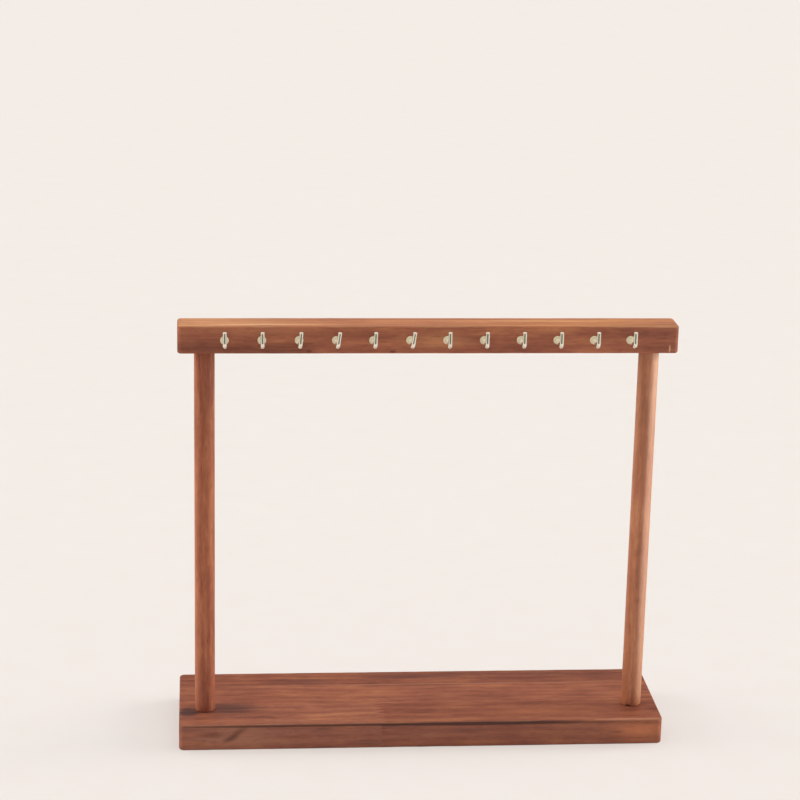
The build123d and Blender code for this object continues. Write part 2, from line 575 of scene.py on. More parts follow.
@dataclass(frozen=True)
class PlatedMetal:
    """Wire or screw steel with a plated skin: clean reflections with faint draw marks and a little haze.

    Attributes:
        name: name of the material.
        colour: sRGB hex of the plating.
        haze: sRGB hex of the plating where it has dulled.
        smooth: roughness of the clean plating.
        dull: roughness of the dulled plating.
        patch: size of a dulled patch.
        mark_width: width of a draw mark.
        mark_depth: depth of a draw mark.
        wood_face: where the wood's face lies along Y, None where all of the plating is alike.
        polished_reach: distance from the wood at which the plating is fully polished.
        satin: roughness next to the wood, which handling never polishes.
        satin_metal: share of clean metal there, under a dull film whose pale tones are partly painted
            reflection.
        shank_film_and_reflection: sRGB hex of the film on the shank, a pale tone that also stands for the
            bright room that the shank mirrors: painted reflection.
        collar_film_and_reflection: sRGB hex of the film on the collar, which is also painted reflection.
        collar_height: how far the collar stands off the wood.
        collar_fade: length over which the collar's film turns into the shank's.
    """

    name: str
    colour: str
    haze: str
    smooth: float
    dull: float
    patch: float = 1.6
    mark_width: float = 0.35
    mark_depth: float = 0.02
    wood_face: float | None = None
    polished_reach: float = 13.0
    satin: float = 0.36
    satin_metal: float = 0.3
    shank_film_and_reflection: str = "#FFFBDF"
    collar_film_and_reflection: str = "#E2D6B4"
    collar_height: float = 1.6
    collar_fade: float = 0.4

    def material(self) -> Material:
        """Build the material.

        Returns:
            The material.
        """
        material, tree = new_material(self.name)
        place = add_node(tree, "TexCoord").outputs["Object"]
        spots = {"Vector": place, "Scale": 1 / (self.patch * MM), "Detail": 4.0}
        patches = add_node(tree, "TexNoise", spots).outputs[0]
        dulled = add_node(
            tree, "MapRange", {"Value": patches, "From Min": 0.45, "From Max": 0.7},
            interpolation_type="SMOOTHSTEP",
        ).outputs[0]
        colour = add_node(tree, "Mix", {0: dulled, 6: self.colour, 7: self.haze}, data_type="RGBA").outputs[2]
        polish = {"Value": dulled, "To Min": self.smooth, "To Max": self.dull}
        roughness = add_node(tree, "MapRange", polish).outputs[0]
        metal: NodeInput = 1.0
        if self.wood_face is not None:
            depth = add_node(tree, "SeparateXYZ", {0: place}).outputs["Y"]
            # Near the wood the plating turns to a dull, partly matt film; its pale tones are painted
            # reflection of a bright room.
            near = self._nearness(tree, depth, self.polished_reach, self.polished_reach / 2)
            on_collar = self._nearness(tree, depth, self.collar_height + self.collar_fade, self.collar_height)
            tones = {0: on_collar, 6: self.shank_film_and_reflection, 7: self.collar_film_and_reflection}
            film_and_painted_reflection = add_node(tree, "Mix", tones, data_type="RGBA").outputs[2]
            colour = add_node(tree, "Mix", {0: near, 6: colour, 7: film_and_painted_reflection}, data_type="RGBA").outputs[2]
            polish = {"Value": near, "To Min": roughness, "To Max": self.satin}
            roughness = add_node(tree, "MapRange", polish).outputs[0]
            clean = {"Value": near, "To Min": 1.0, "To Max": self.satin_metal}
            metal = add_node(tree, "MapRange", clean).outputs[0]
        lines = {"Vector": place, "Scale": 1 / (self.mark_width * MM), "Detail": 2.0}
        marks = add_node(tree, "TexNoise", lines).outputs[0]
        bump = add_node(tree, "Bump", {"Strength": 0.03, "Distance": self.mark_depth * MM, "Height": marks})
        shader = add_node(
            tree, "BsdfPrincipled",
            {"Base Color": colour, "Metallic": metal, "Roughness": roughness, "Normal": bump.outputs[0]},
        )
        close_material(tree, shader)
        return material

    def _nearness(self, tree: NodeTree, depth: NodeSocket, far: float, close: float) -> NodeSocket:
        """Tell how near the wood a point of the hook lies.

        Args:
            tree: the material's node tree.
            depth: the point's place along Y, in metres.
            far: distance from the wood where the result starts to rise.
            close: distance where it is full.

        Returns:
            0 far from the wood and 1 close to it.
        """
        start = (self.wood_face - far) * MM
        full = (self.wood_face - close) * MM
        return add_node(
            tree, "MapRange", {"Value": depth, "From Min": start, "From Max": full},
            interpolation_type="SMOOTHSTEP",
        ).outputs[0]


@dataclass(frozen=True)
class SeamlessPaper:
    """Matt background paper: an even pale tone with the faintest fibre mottle.

    Attributes:
        name: name of the material.
        colour: sRGB hex of the paper.
        mottle: sRGB hex of its darker fibres.
        mottle_size: size of a patch of darker fibres.
        evenness: share of its tone that camera and reflections see unshaded, so that shadows stay faint.
    """

    name: str = "matt_background_paper"
    colour: str = "#F5EEE8"
    mottle: str = "#F2EAE3"
    mottle_size: float = 25.0
    evenness: float = 0.5

    def material(self) -> Material:
        """Build the material.

        Returns:
            The material.
        """
        material, tree = new_material(self.name)
        place = add_node(tree, "TexCoord").outputs["Object"]
        patches = {"Vector": place, "Scale": 1 / (self.mottle_size * MM), "Detail": 5.0}
        fibres = add_node(tree, "TexNoise", patches).outputs[0]
        tones = {0: fibres, 6: self.colour, 7: self.mottle}
        colour = add_node(tree, "Mix", tones, data_type="RGBA").outputs[2]
        lit = add_node(tree, "BsdfDiffuse", {"Color": colour})
        even = add_node(tree, "Emission", {"Color": colour, "Strength": 1.0})
        seen = {0: seen_rays(tree), 1: self.evenness}
        share = add_node(tree, "Math", seen, operation="MULTIPLY").outputs[0]
        close_material(tree, add_node(tree, "MixShader", {0: share, 1: lit.outputs[0], 2: even.outputs[0]}))
        return material


def add_object(bm: BMesh, name: str, material: Material | None = None) -> Object:
    """Make a mesh an object of the scene.

    Args:
        bm: the finished mesh, which is freed.
        name: name of the object.
        material: its finish, if it has one.

    Returns:
        The new object.
    """
    mesh = bpy.data.meshes.new(name)
    bm.to_mesh(mesh)
    bm.free()
    if material is not None:
        mesh.materials.append(material)
    added = bpy.data.objects.new(name, mesh)
    bpy.context.scene.collection.objects.link(added)
    return added


def finish_piece(bm: BMesh, name: str, material: Material, node: str) -> Object:
    """Make a mesh a piece that stands for a CAD node and rides on the stand.

    Args:
        bm: the finished mesh, which is freed.
        name: name of the piece.
        material: its finish.
        node: CAD node that it replaces.

    Returns:
        The new object.
    """
    piece = add_object(bm, name, material)
    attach(piece, BODY)
    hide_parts(node)
    LOG.info("%s: %d faces", name, len(piece.data.polygons))
    return piece


def drill(bm: BMesh, cutters: BMesh) -> BMesh:
    """Cut bores out of a solid mesh.

    Args:
        bm: the solid, which is freed.
        cutters: the drills, one closed shell for each bore, which are freed.

    Returns:
        The drilled solid.
    """
    solid = add_object(bm, "solid")
    drills = add_object(cutters, "drills")
    cut = solid.modifiers.new("bores", "BOOLEAN")
    cut.operation = "DIFFERENCE"
    cut.solver = "EXACT"
    cut.object = drills
    result = bmesh.new()
    result.from_object(solid, bpy.context.evaluated_depsgraph_get())
    for shape in (solid, drills):
        mesh = shape.data
        bpy.data.objects.remove(shape)
        bpy.data.meshes.remove(mesh)
    return result


def add_drill(
    bm: BMesh, mouth: Vector, direction: Vector, radius: float, depth: float, mouth_radius: float = 0.0
) -> None:
    """Add the drill for one bore, with a countersink if its mouth is wider.

    Args:
        bm: mesh that the drill is added to.
        mouth: middle of the bore's mouth, in metres.
        direction: unit vector into the wood.
        radius: radius of the bore, in metres.
        depth: depth of the bore, in metres.
        mouth_radius: radius of the countersink at the mouth, in metres.
    """
    turn = direction.to_track_quat("Z", "Y").to_matrix().to_4x4()
    overrun = 1.0 * MM
    cones = [(radius, depth)]
    if mouth_radius > radius:
        cones.append((mouth_radius + overrun, mouth_radius - radius))
    for outer, length in cones:
        bmesh.ops.create_cone(
            bm, cap_ends=True, segments=DRILL_SEGMENTS, radius1=outer, radius2=radius, depth=length + overrun,
            matrix=Matrix.Translation(mouth + direction * (length - overrun) / 2) @ turn,
        )


def add_pin_drill(bm: BMesh, side: str, joint: float, direction: Vector) -> None:
    """Add the drill for a dowel pin's bore, on one side of the joint that the pin holds.

    Args:
        bm: mesh that the drill is added to.
        side: left or right.
        joint: height of the joint, in metres.
        direction: unit vector into the wood.
    """
    low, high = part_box(f"{side}_dowel_pin")
    middle = (low + high) / 2
    clearance = 0.025 * MM
    spare = 0.6 * MM
    radius = (high.y - low.y) / 2 + clearance
    add_drill(bm, Vector((middle.x, middle.y, joint)), direction, radius, (high.z - low.z) / 2 + spare)


def ease(bm: BMesh, edges: list[BMEdge], radius: float, segments: int) -> None:
    """Round edges over.

    Args:
        bm: mesh that the edges belong to.
        edges: edges to round.
        radius: radius.
        segments: faces across the rounding.
    """
    bmesh.ops.bevel(
        bm, geom=edges, offset=radius * MM, offset_type="OFFSET", segments=segments, profile=0.5,
        affect="EDGES", material=-1,
    )


def cut_slices(bm: BMesh, axis: Vector, start: float, end: float, spacing: float) -> None:
    """Cut a mesh across into slices, so that its sides can wander.

    Args:
        bm: the mesh.
        axis: unit vector along the piece.
        start: place of the piece's one end along that axis, in metres.
        end: place of its other end, in metres.
        spacing: distance from one cut to the next.
    """
    slices = round((end - start) / (spacing * MM))
    for index in range(1, slices):
        where = start + (end - start) * index / slices
        bmesh.ops.bisect_plane(
            bm, geom=[*bm.verts, *bm.edges, *bm.faces], dist=WELD, plane_co=axis * where, plane_no=axis
        )


@dataclass
class Board:
    """A flat board with eased edges, sanded by hand so that the easing wanders a little.

    Attributes:
        node: CAD node that the board stands for.
        finish: the board's wood.
        edge_radius: radius of the eased edges.
        corner_radius: radius of the corners in plan.
        wander: how far the sanding strays from the true radius.
        wander_length: length of a stroke that strays, along the board.
        wander_width: its width across the board.
        slice_length: distance between the cross-sections that follow the sanding.
    """

    node: str
    finish: StainedWood
    edge_radius: float
    corner_radius: float
    wander: float = 0.18
    wander_length: float = 22.0
    wander_width: float = 20.0
    slice_length: float = 5.0

    def solid(self) -> BMesh:
        """Model the board without its bores.

        Returns:
            The board's mesh, in metres.
        """
        low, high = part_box(self.node)
        size = high - low
        bm = bmesh.new()
        bmesh.ops.create_cube(bm, size=1.0)
        bmesh.ops.scale(bm, vec=size, verts=bm.verts)
        bmesh.ops.translate(bm, vec=(low + high) / 2, verts=bm.verts)
        upright = [e for e in bm.edges if abs(e.verts[0].co.z - e.verts[1].co.z) > size.z / 2]
        ease(bm, upright, self.corner_radius, segments=6)
        rims = {e for f in bm.faces if abs(f.normal.z) > LEVEL for e in f.edges}
        ease(bm, list(rims), self.edge_radius, segments=4)
        for face in bm.faces:
            face.smooth = max(map(abs, face.normal)) < FLAT
        cut_slices(bm, ALONG_BOARD, low.x, high.x, self.slice_length)
        self._sand(bm, low, high)
        return bm

    def _sand(self, bm: BMesh, low: Vector, high: Vector) -> None:
        """Let the eased edges wander along the board, with its faces left flat.

        Args:
            bm: the board's mesh.
            low: the board's lowest corner.
            high: the board's highest corner.
        """
        touch = 1e-6
        middle = (low + high) / 2
        length = self.wander_length * MM
        width = self.wander_width * MM
        for vert in bm.verts:
            stroke = Vector((vert.co.x / length, vert.co.y / width, vert.co.z / width))
            stray = noise.noise(stroke) * self.wander * MM
            for axis in (1, 2):
                inside = low[axis] + touch < vert.co[axis] < high[axis] - touch
                if inside:
                    vert.co[axis] -= math.copysign(abs(stray), vert.co[axis] - middle[axis])


@dataclass
class BaseBoard(Board):
    """The base: a board glued up from staves, with a countersunk screw hole under each post.

    Attributes:
        hole_radius: radius of a screw hole.
        hole_overrun: how far the drill comes out of the board's top.
    """

    hole_radius: float = 2.2
    hole_overrun: float = 1.0

    def build(self) -> None:
        """Model the base board, drill it and dress it."""
        drills = bmesh.new()
        low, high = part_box(self.node)
        depth = high.z - low.z + self.hole_overrun * MM
        for side in SIDES:
            screw_low, screw_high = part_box(f"{side}_base_screw")
            axis = (screw_low + screw_high) / 2
            head = (screw_high.x - screw_low.x) / 2
            mouth = Vector((axis.x, axis.y, low.z))
            add_drill(drills, mouth, UPWARD, self.hole_radius * MM, depth, mouth_radius=head + screw_low.z)
        bm = drill(self.solid(), drills)
        finish_piece(bm, "base_panel", self.finish.material(), self.node)


@dataclass
class TopBar(Board):
    """The bar: a strip with a bore for each hook in its face and one for each dowel pin in its underside.

    Attributes:
        hook_bore_radius: radius of a hook's bore.
    """

    hook_bore_radius: float = 1.12

    def build(self) -> None:
        """Model the bar, drill it and dress it."""
        drills = bmesh.new()
        bar_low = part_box(self.node)[0]
        for number in range(1, HOOK_COUNT + 1):
            low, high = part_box(f"hook_{number:02d}")
            collar = (high.x - low.x) / 2
            mouth = Vector(((low.x + high.x) / 2, bar_low.y, low.z + collar))
            add_drill(drills, mouth, INTO_BAR, self.hook_bore_radius * MM, high.y - bar_low.y)
        for side in SIDES:
            add_pin_drill(drills, side, bar_low.z, UPWARD)
        bm = drill(self.solid(), drills)
        finish_piece(bm, "bar_rail", self.finish.material(), self.node)


@dataclass
class Post:
    """A round post with eased ends, a screw's bore in its foot and a dowel pin's bore in its top.

    Attributes:
        side: left or right.
        finish: the post's wood.
        end_ease: how far the ends are eased.
        segments: faces around the post.
        slice_length: distance between the cross-sections that follow the turning.
        wobble: how far the rod strays from round.
        wobble_length: length of a stray along the rod.
        wobble_width: its width across the rod.
        screw_bore_radius: radius of the screw's bore.
        screw_bore_spare: depth of that bore past the screw's point.
    """

    side: str
    finish: StainedWood
    end_ease: float = 0.8
    segments: int = 72
    slice_length: float = 6.0
    wobble: float = 0.05
    wobble_length: float = 40.0
    wobble_width: float = 9.0
    screw_bore_radius: float = 2.02
    screw_bore_spare: float = 2.0

    def build(self) -> None:
        """Model the post, drill it and dress it."""
        node = f"{self.side}_post"
        low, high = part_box(node)
        drills = bmesh.new()
        foot = Vector(((low.x + high.x) / 2, (low.y + high.y) / 2, low.z))
        screw_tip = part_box(f"{self.side}_base_screw")[1].z
        depth = screw_tip + self.screw_bore_spare * MM - low.z
        add_drill(drills, foot, UPWARD, self.screw_bore_radius * MM, depth)
        add_pin_drill(drills, self.side, high.z, -UPWARD)
        bm = drill(self._rod(low, high), drills)
        finish_piece(bm, f"{self.side}_rod", self.finish.material(), node)

    def _rod(self, low: Vector, high: Vector) -> BMesh:
        """Turn the rod, which is never quite round.

        Args:
            low: the post's lowest corner.
            high: the post's highest corner.

        Returns:
            The rod's mesh, in metres.
        """
        centre = (low + high) / 2
        radius = (high.x - low.x) / 2
        bm = bmesh.new()
        bmesh.ops.create_cone(
            bm, cap_ends=True, segments=self.segments, radius1=radius, radius2=radius, depth=high.z - low.z,
            matrix=Matrix.Translation(centre),
        )
        rims = [e for f in bm.faces if abs(f.normal.z) > LEVEL for e in f.edges]
        ease(bm, rims, self.end_ease, segments=3)
        for face in bm.faces:
            face.smooth = abs(face.normal.z) < FLAT
        cut_slices(bm, UPWARD, low.z, high.z, self.slice_length)
        length = self.wobble_length * MM
        width = self.wobble_width * MM
        for vert in bm.verts:
            out = Vector((vert.co.x - centre.x, vert.co.y - centre.y, 0.0))
            bump = Vector((out.x / width, out.y / width, vert.co.z / length))
            stray = noise.noise(bump + centre / MM)
            vert.co -= out.normalized() * abs(stray) * self.wobble * MM
        return bm


@dataclass(kw_only=True)
class TurnedScrew:
    """A screw that is turned about the Y axis, with its point towards +Y, before it is set in its place.

    Attributes:
        screw_radius: radius of the screw's core.
        point_length: length of the screw's point.
        thread_pitch: distance from one turn of the thread to the next.
        thread_height: how far the thread stands out of the core.
        thread_root: radius of the thread's foot inside the core, as a share of the core's.
        thread_steps: faces along one turn of the thread.
        segments: faces around the screw.
        sharp_angle: angle between faces, in degrees, from which an edge looks sharp.
    """

    screw_radius: float
    point_length: float
    thread_pitch: float
    thread_height: float
    thread_root: float = 0.95
    thread_steps: int = 16
    segments: int = 32
    sharp_angle: float = 38.0

    @staticmethod
    def _draw(bm: BMesh, outline: Iterable[tuple[float, float]], last: BMVert | None = None) -> BMVert:
        """Draw a stretch of the outline that is turned.

        Args:
            bm: mesh of the screw.
            outline: distance out of the wood and from the axis, in metres, of each point.
            last: point that the stretch starts from, if there is one.

        Returns:
            The last point.
        """
        for out, radius in outline:
            vert = bm.verts.new((0.0, -out, radius))
            if last is not None:
                bm.edges.new((last, vert))
            last = vert
        return last

    def _turn_outline(self, bm: BMesh) -> None:
        """Turn the outline about the axis.

        Args:
            bm: mesh that holds the outline alone.
        """
        bmesh.ops.spin(
            bm, geom=[*bm.verts, *bm.edges], cent=(0.0, 0.0, 0.0), axis=(0.0, 1.0, 0.0), angle=math.tau,
            steps=self.segments, use_merge=True, use_duplicate=False,
        )
        bmesh.ops.remove_doubles(bm, verts=bm.verts, dist=WELD)

    def _cut_thread(self, bm: BMesh, screw_length: float, plain_length: float) -> None:
        """Wind the thread round the screw's core as one closed ridge.

        Args:
            bm: mesh of the screw.
            screw_length: length of the screw in the wood, in metres.
            plain_length: length without thread behind the head or collar, in metres.
        """
        pitch = self.thread_pitch * MM
        core = self.screw_radius * MM
        start = self.point_length * MM - screw_length
        turns = math.floor((-start - plain_length) / pitch)
        root = core * self.thread_root
        profile = ((0.0, root), (0.25, core + self.thread_height * MM), (0.5, root))
        ridge = [bm.verts.new((0.0, -start - pitch * share, radius)) for share, radius in profile]
        first = bm.faces.new(ridge)
        bmesh.ops.spin(
            bm, geom=[first, *first.edges, *first.verts], cent=(0.0, 0.0, 0.0), axis=(0.0, 1.0, 0.0),
            dvec=(0.0, -pitch / self.thread_steps, 0.0), angle=math.tau * turns,
            steps=self.thread_steps * turns, use_duplicate=False,
        )

    def _shade(self, bm: BMesh) -> None:
        """Turn the faces outwards and shade the screw smooth, apart from its sharp edges.

        Args:
            bm: mesh of the screw.
        """
        bmesh.ops.recalc_face_normals(bm, faces=bm.faces)
        for face in bm.faces:
            face.smooth = True
        for edge in bm.edges:
            edge.smooth = edge.calc_face_angle(0.0) < math.radians(self.sharp_angle)


@dataclass(kw_only=True)
class BaseScrew(TurnedScrew):
    """A countersunk wood screw with a cross recess, driven up through the base board into a post.

    Attributes:
        side: left or right.
        recess_span: length of the recess's arms, from tip to tip.
        recess_width: width of the arms.
        recess_depth: depth of the recess.
        recess_taper: size of the recess's floor as a share of its mouth.
    """

    side: str
    screw_radius: float = 1.35
    point_length: float = 4.0
    thread_pitch: float = 1.8
    thread_height: float = 0.6
    recess_span: float = 4.0
    recess_width: float = 0.9
    recess_depth: float = 1.8
    recess_taper: float = 0.8

    def build(self, material: Material) -> None:
        """Model the screw, set it in the base board and dress it.

        Args:
            material: the plating.
        """
        node = f"{self.side}_base_screw"
        low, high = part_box(node)
        length = high.z - low.z
        head = (high.x - low.x) / 2
        core = self.screw_radius * MM
        point = self.point_length * MM - length
        bm = bmesh.new()
        self._draw(bm, ((-length, 0.0), (point, core), (core - head, core), (0.0, head), (0.0, 0.0)))
        self._turn_outline(bm)
        for turn in (0.0, math.pi / 2):
            bm = drill(bm, self._recess_arm(turn))
        bmesh.ops.remove_doubles(bm, verts=bm.verts, dist=10 * WELD)
        neck = (head - core) * 2
        self._cut_thread(bm, length, neck)
        self._shade(bm)
        seat = Vector(((low.x + high.x) / 2, (low.y + high.y) / 2, low.z))
        upright = Matrix.Rotation(math.pi / 2, 4, "X")
        bmesh.ops.transform(bm, matrix=Matrix.Translation(seat) @ upright, verts=bm.verts)
        finish_piece(bm, f"{self.side}_wood_screw", material, node)

    def _recess_arm(self, turn: float) -> BMesh:
        """Make the cutter for one arm of the recess.

        Args:
            turn: the arm's turn about the screw's axis, in radians.

        Returns:
            The cutter, which reaches as far out of the head as into it.
        """
        arm = bmesh.new()
        bmesh.ops.create_cube(arm, size=1.0)
        size = Vector((self.recess_span, 2 * self.recess_depth, self.recess_width)) * MM
        bmesh.ops.scale(arm, vec=size, verts=arm.verts)
        floor = [v for v in arm.verts if v.co.y > 0.0]
        bmesh.ops.scale(arm, vec=(self.recess_taper, 1.0, self.recess_taper), verts=floor)
        bmesh.ops.rotate(arm, matrix=Matrix.Rotation(turn, 3, "Y"), verts=arm.verts)
        return arm


@dataclass(kw_only=True)
class ScrewHook(TurnedScrew):
    """A shoulder screw hook: threaded shank, domed collar and round wire bent up square.

    Attributes:
        number: place of the hook, counted from the left.
        wire_radius: radius of the wire.
        reach: distance from the bar's face to the axis of the upright.
        rise: height of the tip above the shank's axis.
        bend_radius: radius of the bend along the wire's axis.
        bend_steps: faces along the bend.
        tip_ease: how far the cut end is eased.
        collar_rim: height of the collar's straight edge.
        collar_ease: how far that edge is broken next to the wood.
        collar_dome: height of the dome above it.
        dome_steps: faces along the dome.
        cove: radius of the hollow between the dome and the wire.
        cove_middle: distance of the hollow's middle from dome and wire, as a share of its radius.
        hold: distance from each bend or edge to the ring of faces that keeps its shading local.
    """

    number: int
    wire_radius: float = 1.2
    reach: float = 16.2
    rise: float = 8.8
    bend_radius: float = 2.4
    bend_steps: int = 8
    tip_ease: float = 0.4
    collar_rim: float = 0.5
    collar_ease: float = 0.12
    collar_dome: float = 1.0
    dome_steps: int = 5
    cove: float = 0.7
    cove_middle: float = 0.35
    hold: float = 0.25
    screw_radius: float = 1.1
    point_length: float = 3.0
    thread_pitch: float = 1.2
    thread_height: float = 0.35

    @property
    def node(self) -> str:
        """CAD node that the hook stands for."""
        return f"hook_{self.number:02d}"

    def build(self, material: Material) -> Object:
        """Model the hook, set it in the bar and dress it.

        Args:
            material: the plating.

        Returns:
            The hook's object.
        """
        low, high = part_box(self.node)
        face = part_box("top_bar")[0].y
        collar = (high.x - low.x) / 2
        bm = bmesh.new()
        self._turn_shank(bm, collar, high.y - face)
        self._bend_wire(bm)
        self._cut_thread(bm, high.y - face, self.thread_pitch * MM)
        self._shade(bm)
        seat = Vector(((low.x + high.x) / 2, face, low.z + collar))
        turn = Matrix.Rotation(self._turn(), 4, "Y")
        bmesh.ops.transform(bm, matrix=Matrix.Translation(seat) @ turn, verts=bm.verts)
        return finish_piece(bm, f"screw_{self.node}", material, self.node)

    def _turn(self) -> float:
        """How far the hook stands past upright, in radians, from its peg's axis in the record."""
        peg = next(m for m in frame["record"]["mounts"] if m["name"] == f"{self.node}_peg")
        return math.atan2(peg["axis"][0], peg["axis"][2])

    def _turn_shank(self, bm: BMesh, collar: float, screw_length: float) -> None:
        """Turn the screw, the collar and the straight shank about the shank's axis.

        Args:
            bm: mesh of the hook, with the shank's axis along -Y from the origin.
            collar: radius of the collar, in metres.
            screw_length: length of the screw behind the collar, in metres.
        """
        rim, dome, cove, hold = (v * MM for v in (self.collar_rim, self.collar_dome, self.cove, self.hold))
        wire, core, broken = (v * MM for v in (self.wire_radius, self.screw_radius, self.collar_ease))
        point = self.point_length * MM - screw_length
        bend = (self.reach - self.bend_radius) * MM
        ball = (collar**2 + dome**2) / (2 * dome)
        ball_middle = rim + dome - ball
        steepest = math.asin(collar / ball)
        shallowest = math.asin((wire + cove) / ball)
        crown = ball_middle + ball * math.cos(shallowest)
        middle = cove * self.cove_middle

        screw = ((-screw_length, 0.0), (point, core), (0.0, core))
        edge = ((0.0, collar - broken), (broken, collar), (rim, collar))
        arc = bmesh.ops.spin(
            bm, geom=[self._draw(bm, screw + edge)], cent=(0.0, -ball_middle, 0.0), axis=(1.0, 0.0, 0.0),
            angle=steepest - shallowest, steps=self.dome_steps, use_duplicate=False,
        )
        last = next(g for g in arc["geom_last"] if isinstance(g, BMVert))
        hollow = ((crown + middle, wire + middle), (crown + cove, wire))
        shank = ((crown + cove + hold, wire), (bend - hold, wire), (bend, wire))
        self._draw(bm, hollow + shank, last)
        self._turn_outline(bm)

    def _bend_wire(self, bm: BMesh) -> None:
        """Carry the open end of the shank round the bend and up to the cut tip.

        Args:
            bm: mesh of the hook.
        """
        bend = self.bend_radius * MM
        open_end = [e for e in bm.edges if e.is_boundary]
        verts = list({v for e in open_end for v in e.verts})
        bent = bmesh.ops.spin(
            bm, geom=[*open_end, *verts], cent=(0.0, -self.reach * MM + bend, bend), axis=(1.0, 0.0, 0.0),
            angle=-math.pi / 2, steps=self.bend_steps, use_duplicate=False,
        )
        last = [g for g in bent["geom_last"] if isinstance(g, BMEdge)]
        straight = self.rise - self.bend_radius - self.tip_ease - 2 * self.hold
        for length in (self.hold, straight, self.hold + self.tip_ease):
            raised = bmesh.ops.extrude_edge_only(bm, edges=last)["geom"]
            ring = [g for g in raised if isinstance(g, BMVert)]
            bmesh.ops.translate(bm, vec=UPWARD * length * MM, verts=ring)
            last = [g for g in raised if isinstance(g, BMEdge) and g.is_boundary]
        cap = bmesh.ops.contextual_create(bm, geom=last)["faces"]
        ease(bm, list(cap[0].edges), self.tip_ease, segments=3)


@dataclass
class DowelPins:
    """The fluted pins between posts and bar, which keep their CAD shape.

    Attributes:
        finish: wood of the pins.
    """

    finish: StainedWood

    def dress(self) -> None:
        """Give the pins their finish."""
        material = self.finish.material()
        for side in SIDES:
            node = frame["nodes"][f"{side}_dowel_pin"]
            for index in range(len(node.material_slots)):
                node.material_slots[index].material = material
            LOG.info("%s_dowel_pin: dressed", side)


@dataclass(frozen=True)
class SoftLamp:
    """A broad, even light from one side, left out of reflections, which show paper, cards and backdrop.

    Attributes:
        name: name of the lamp.
        azimuth: where it stands, in degrees to the right of the camera's side.
        elevation: its height, in degrees above the table.
        strength: light on a surface that faces it.
        spread: angle that it fills, in degrees.
        colour: sRGB hex of its light.
    """

    name: str
    azimuth: float
    elevation: float
    strength: float
    spread: float
    colour: str = "#FFFFFF"

    def build(self) -> None:
        """Add the lamp."""
        lamp = bpy.data.lights.new(self.name, "SUN")
        lamp.energy = self.strength
        lamp.angle = math.radians(self.spread)
        lamp.color = linear(self.colour)[:3]
        light = bpy.data.objects.new(self.name, lamp)
        light.visible_glossy = False
        around = math.radians(self.azimuth)
        up = math.radians(self.elevation)
        toward = Vector((math.sin(around) * math.cos(up), -math.cos(around) * math.cos(up), math.sin(up)))
        light.rotation_euler = toward.to_track_quat("Z", "Y").to_euler()
        bpy.context.scene.collection.objects.link(light)


@dataclass(frozen=True)
class Card:
    """A card on the floor that only reflections show.

    Attributes:
        name: name of the card.
        centre: its middle along X and Y, in metres.
        size: its lengths, in metres.
        height: how far it lies above the floor, in metres.
        colour: sRGB hex of the card.
        turn: turn about Z, in degrees.
        glow: light that it gives off.
    """

    name: str
    centre: tuple[float, float]
    size: tuple[float, float]
    height: float
    colour: str
    turn: float = 0.0
    glow: float = 0.0

    def build(self, spared: Collection) -> None:
        """Lay the card.

        Args:
            spared: pieces that its glow passes by.
        """
        bm = bmesh.new()
        bmesh.ops.create_grid(bm, x_segments=1, y_segments=1, size=0.5)
        bmesh.ops.scale(bm, vec=(*self.size, 1.0), verts=bm.verts)
        turn = Matrix.Rotation(math.radians(self.turn), 4, "Z")
        place = Matrix.Translation((*self.centre, self.height))
        bmesh.ops.transform(bm, matrix=place @ turn, verts=bm.verts)
        material, tree = new_material(f"matt_{self.name}")
        shader = add_node(
            tree, "BsdfPrincipled",
            {"Base Color": self.colour, "Roughness": 0.9, "Emission Color": self.colour,
             "Emission Strength": self.glow},
        )
        close_material(tree, shader)
        card = add_object(bm, self.name, material)
        card.visible_camera = False
        card.visible_diffuse = False
        card.visible_shadow = False
        card.light_linking.receiver_collection = spared


@dataclass(frozen=True)
class Camera:
    """The photograph's camera, found from the edges of the base, bar and posts.

    Attributes:
        name: name of the camera.
        place: where the lens stands, in millimetres.
        yaw: turn to the left, in radians.
        pitch: tilt down, in radians.
        roll: turn about the view, in radians.
        focal_pixels: focal length in pixels of the frame.
        frame_pixels: width of the frame.
        far_limit: distance to which it sees, in metres.
    """

    name: str = "photo_camera"
    place: tuple[float, float, float] = (-133.29, -1340.04, 597.49)
    yaw: float = -0.08835
    pitch: float = 0.2832
    roll: float = 0.022
    focal_pixels: float = 2367.6
    frame_pixels: int = 800
    far_limit: float = 100.0

    def build(self) -> None:
        """Add the camera and make it the scene's own."""
        data = bpy.data.cameras.new(self.name)
        data.sensor_fit = "HORIZONTAL"
        data.sensor_width = 36.0
        data.lens = data.sensor_width * self.focal_pixels / self.frame_pixels
        data.clip_end = self.far_limit
        right = Vector((math.cos(self.yaw), math.sin(self.yaw), 0.0))
        level = math.cos(self.pitch)
        forward = Vector((-math.sin(self.yaw) * level, math.cos(self.yaw) * level, -math.sin(self.pitch)))
        up = right.cross(forward)
        rolled_right = right * math.cos(self.roll) + up * math.sin(self.roll)
        rolled_up = up * math.cos(self.roll) - right * math.sin(self.roll)
        turn = Matrix((rolled_right, rolled_up, -forward)).transposed().to_4x4()
        camera = bpy.data.objects.new(self.name, data)
        camera.matrix_world = Matrix.Translation(Vector(self.place) * MM) @ turn
        bpy.context.scene.collection.objects.link(camera)
        bpy.context.scene.camera = camera


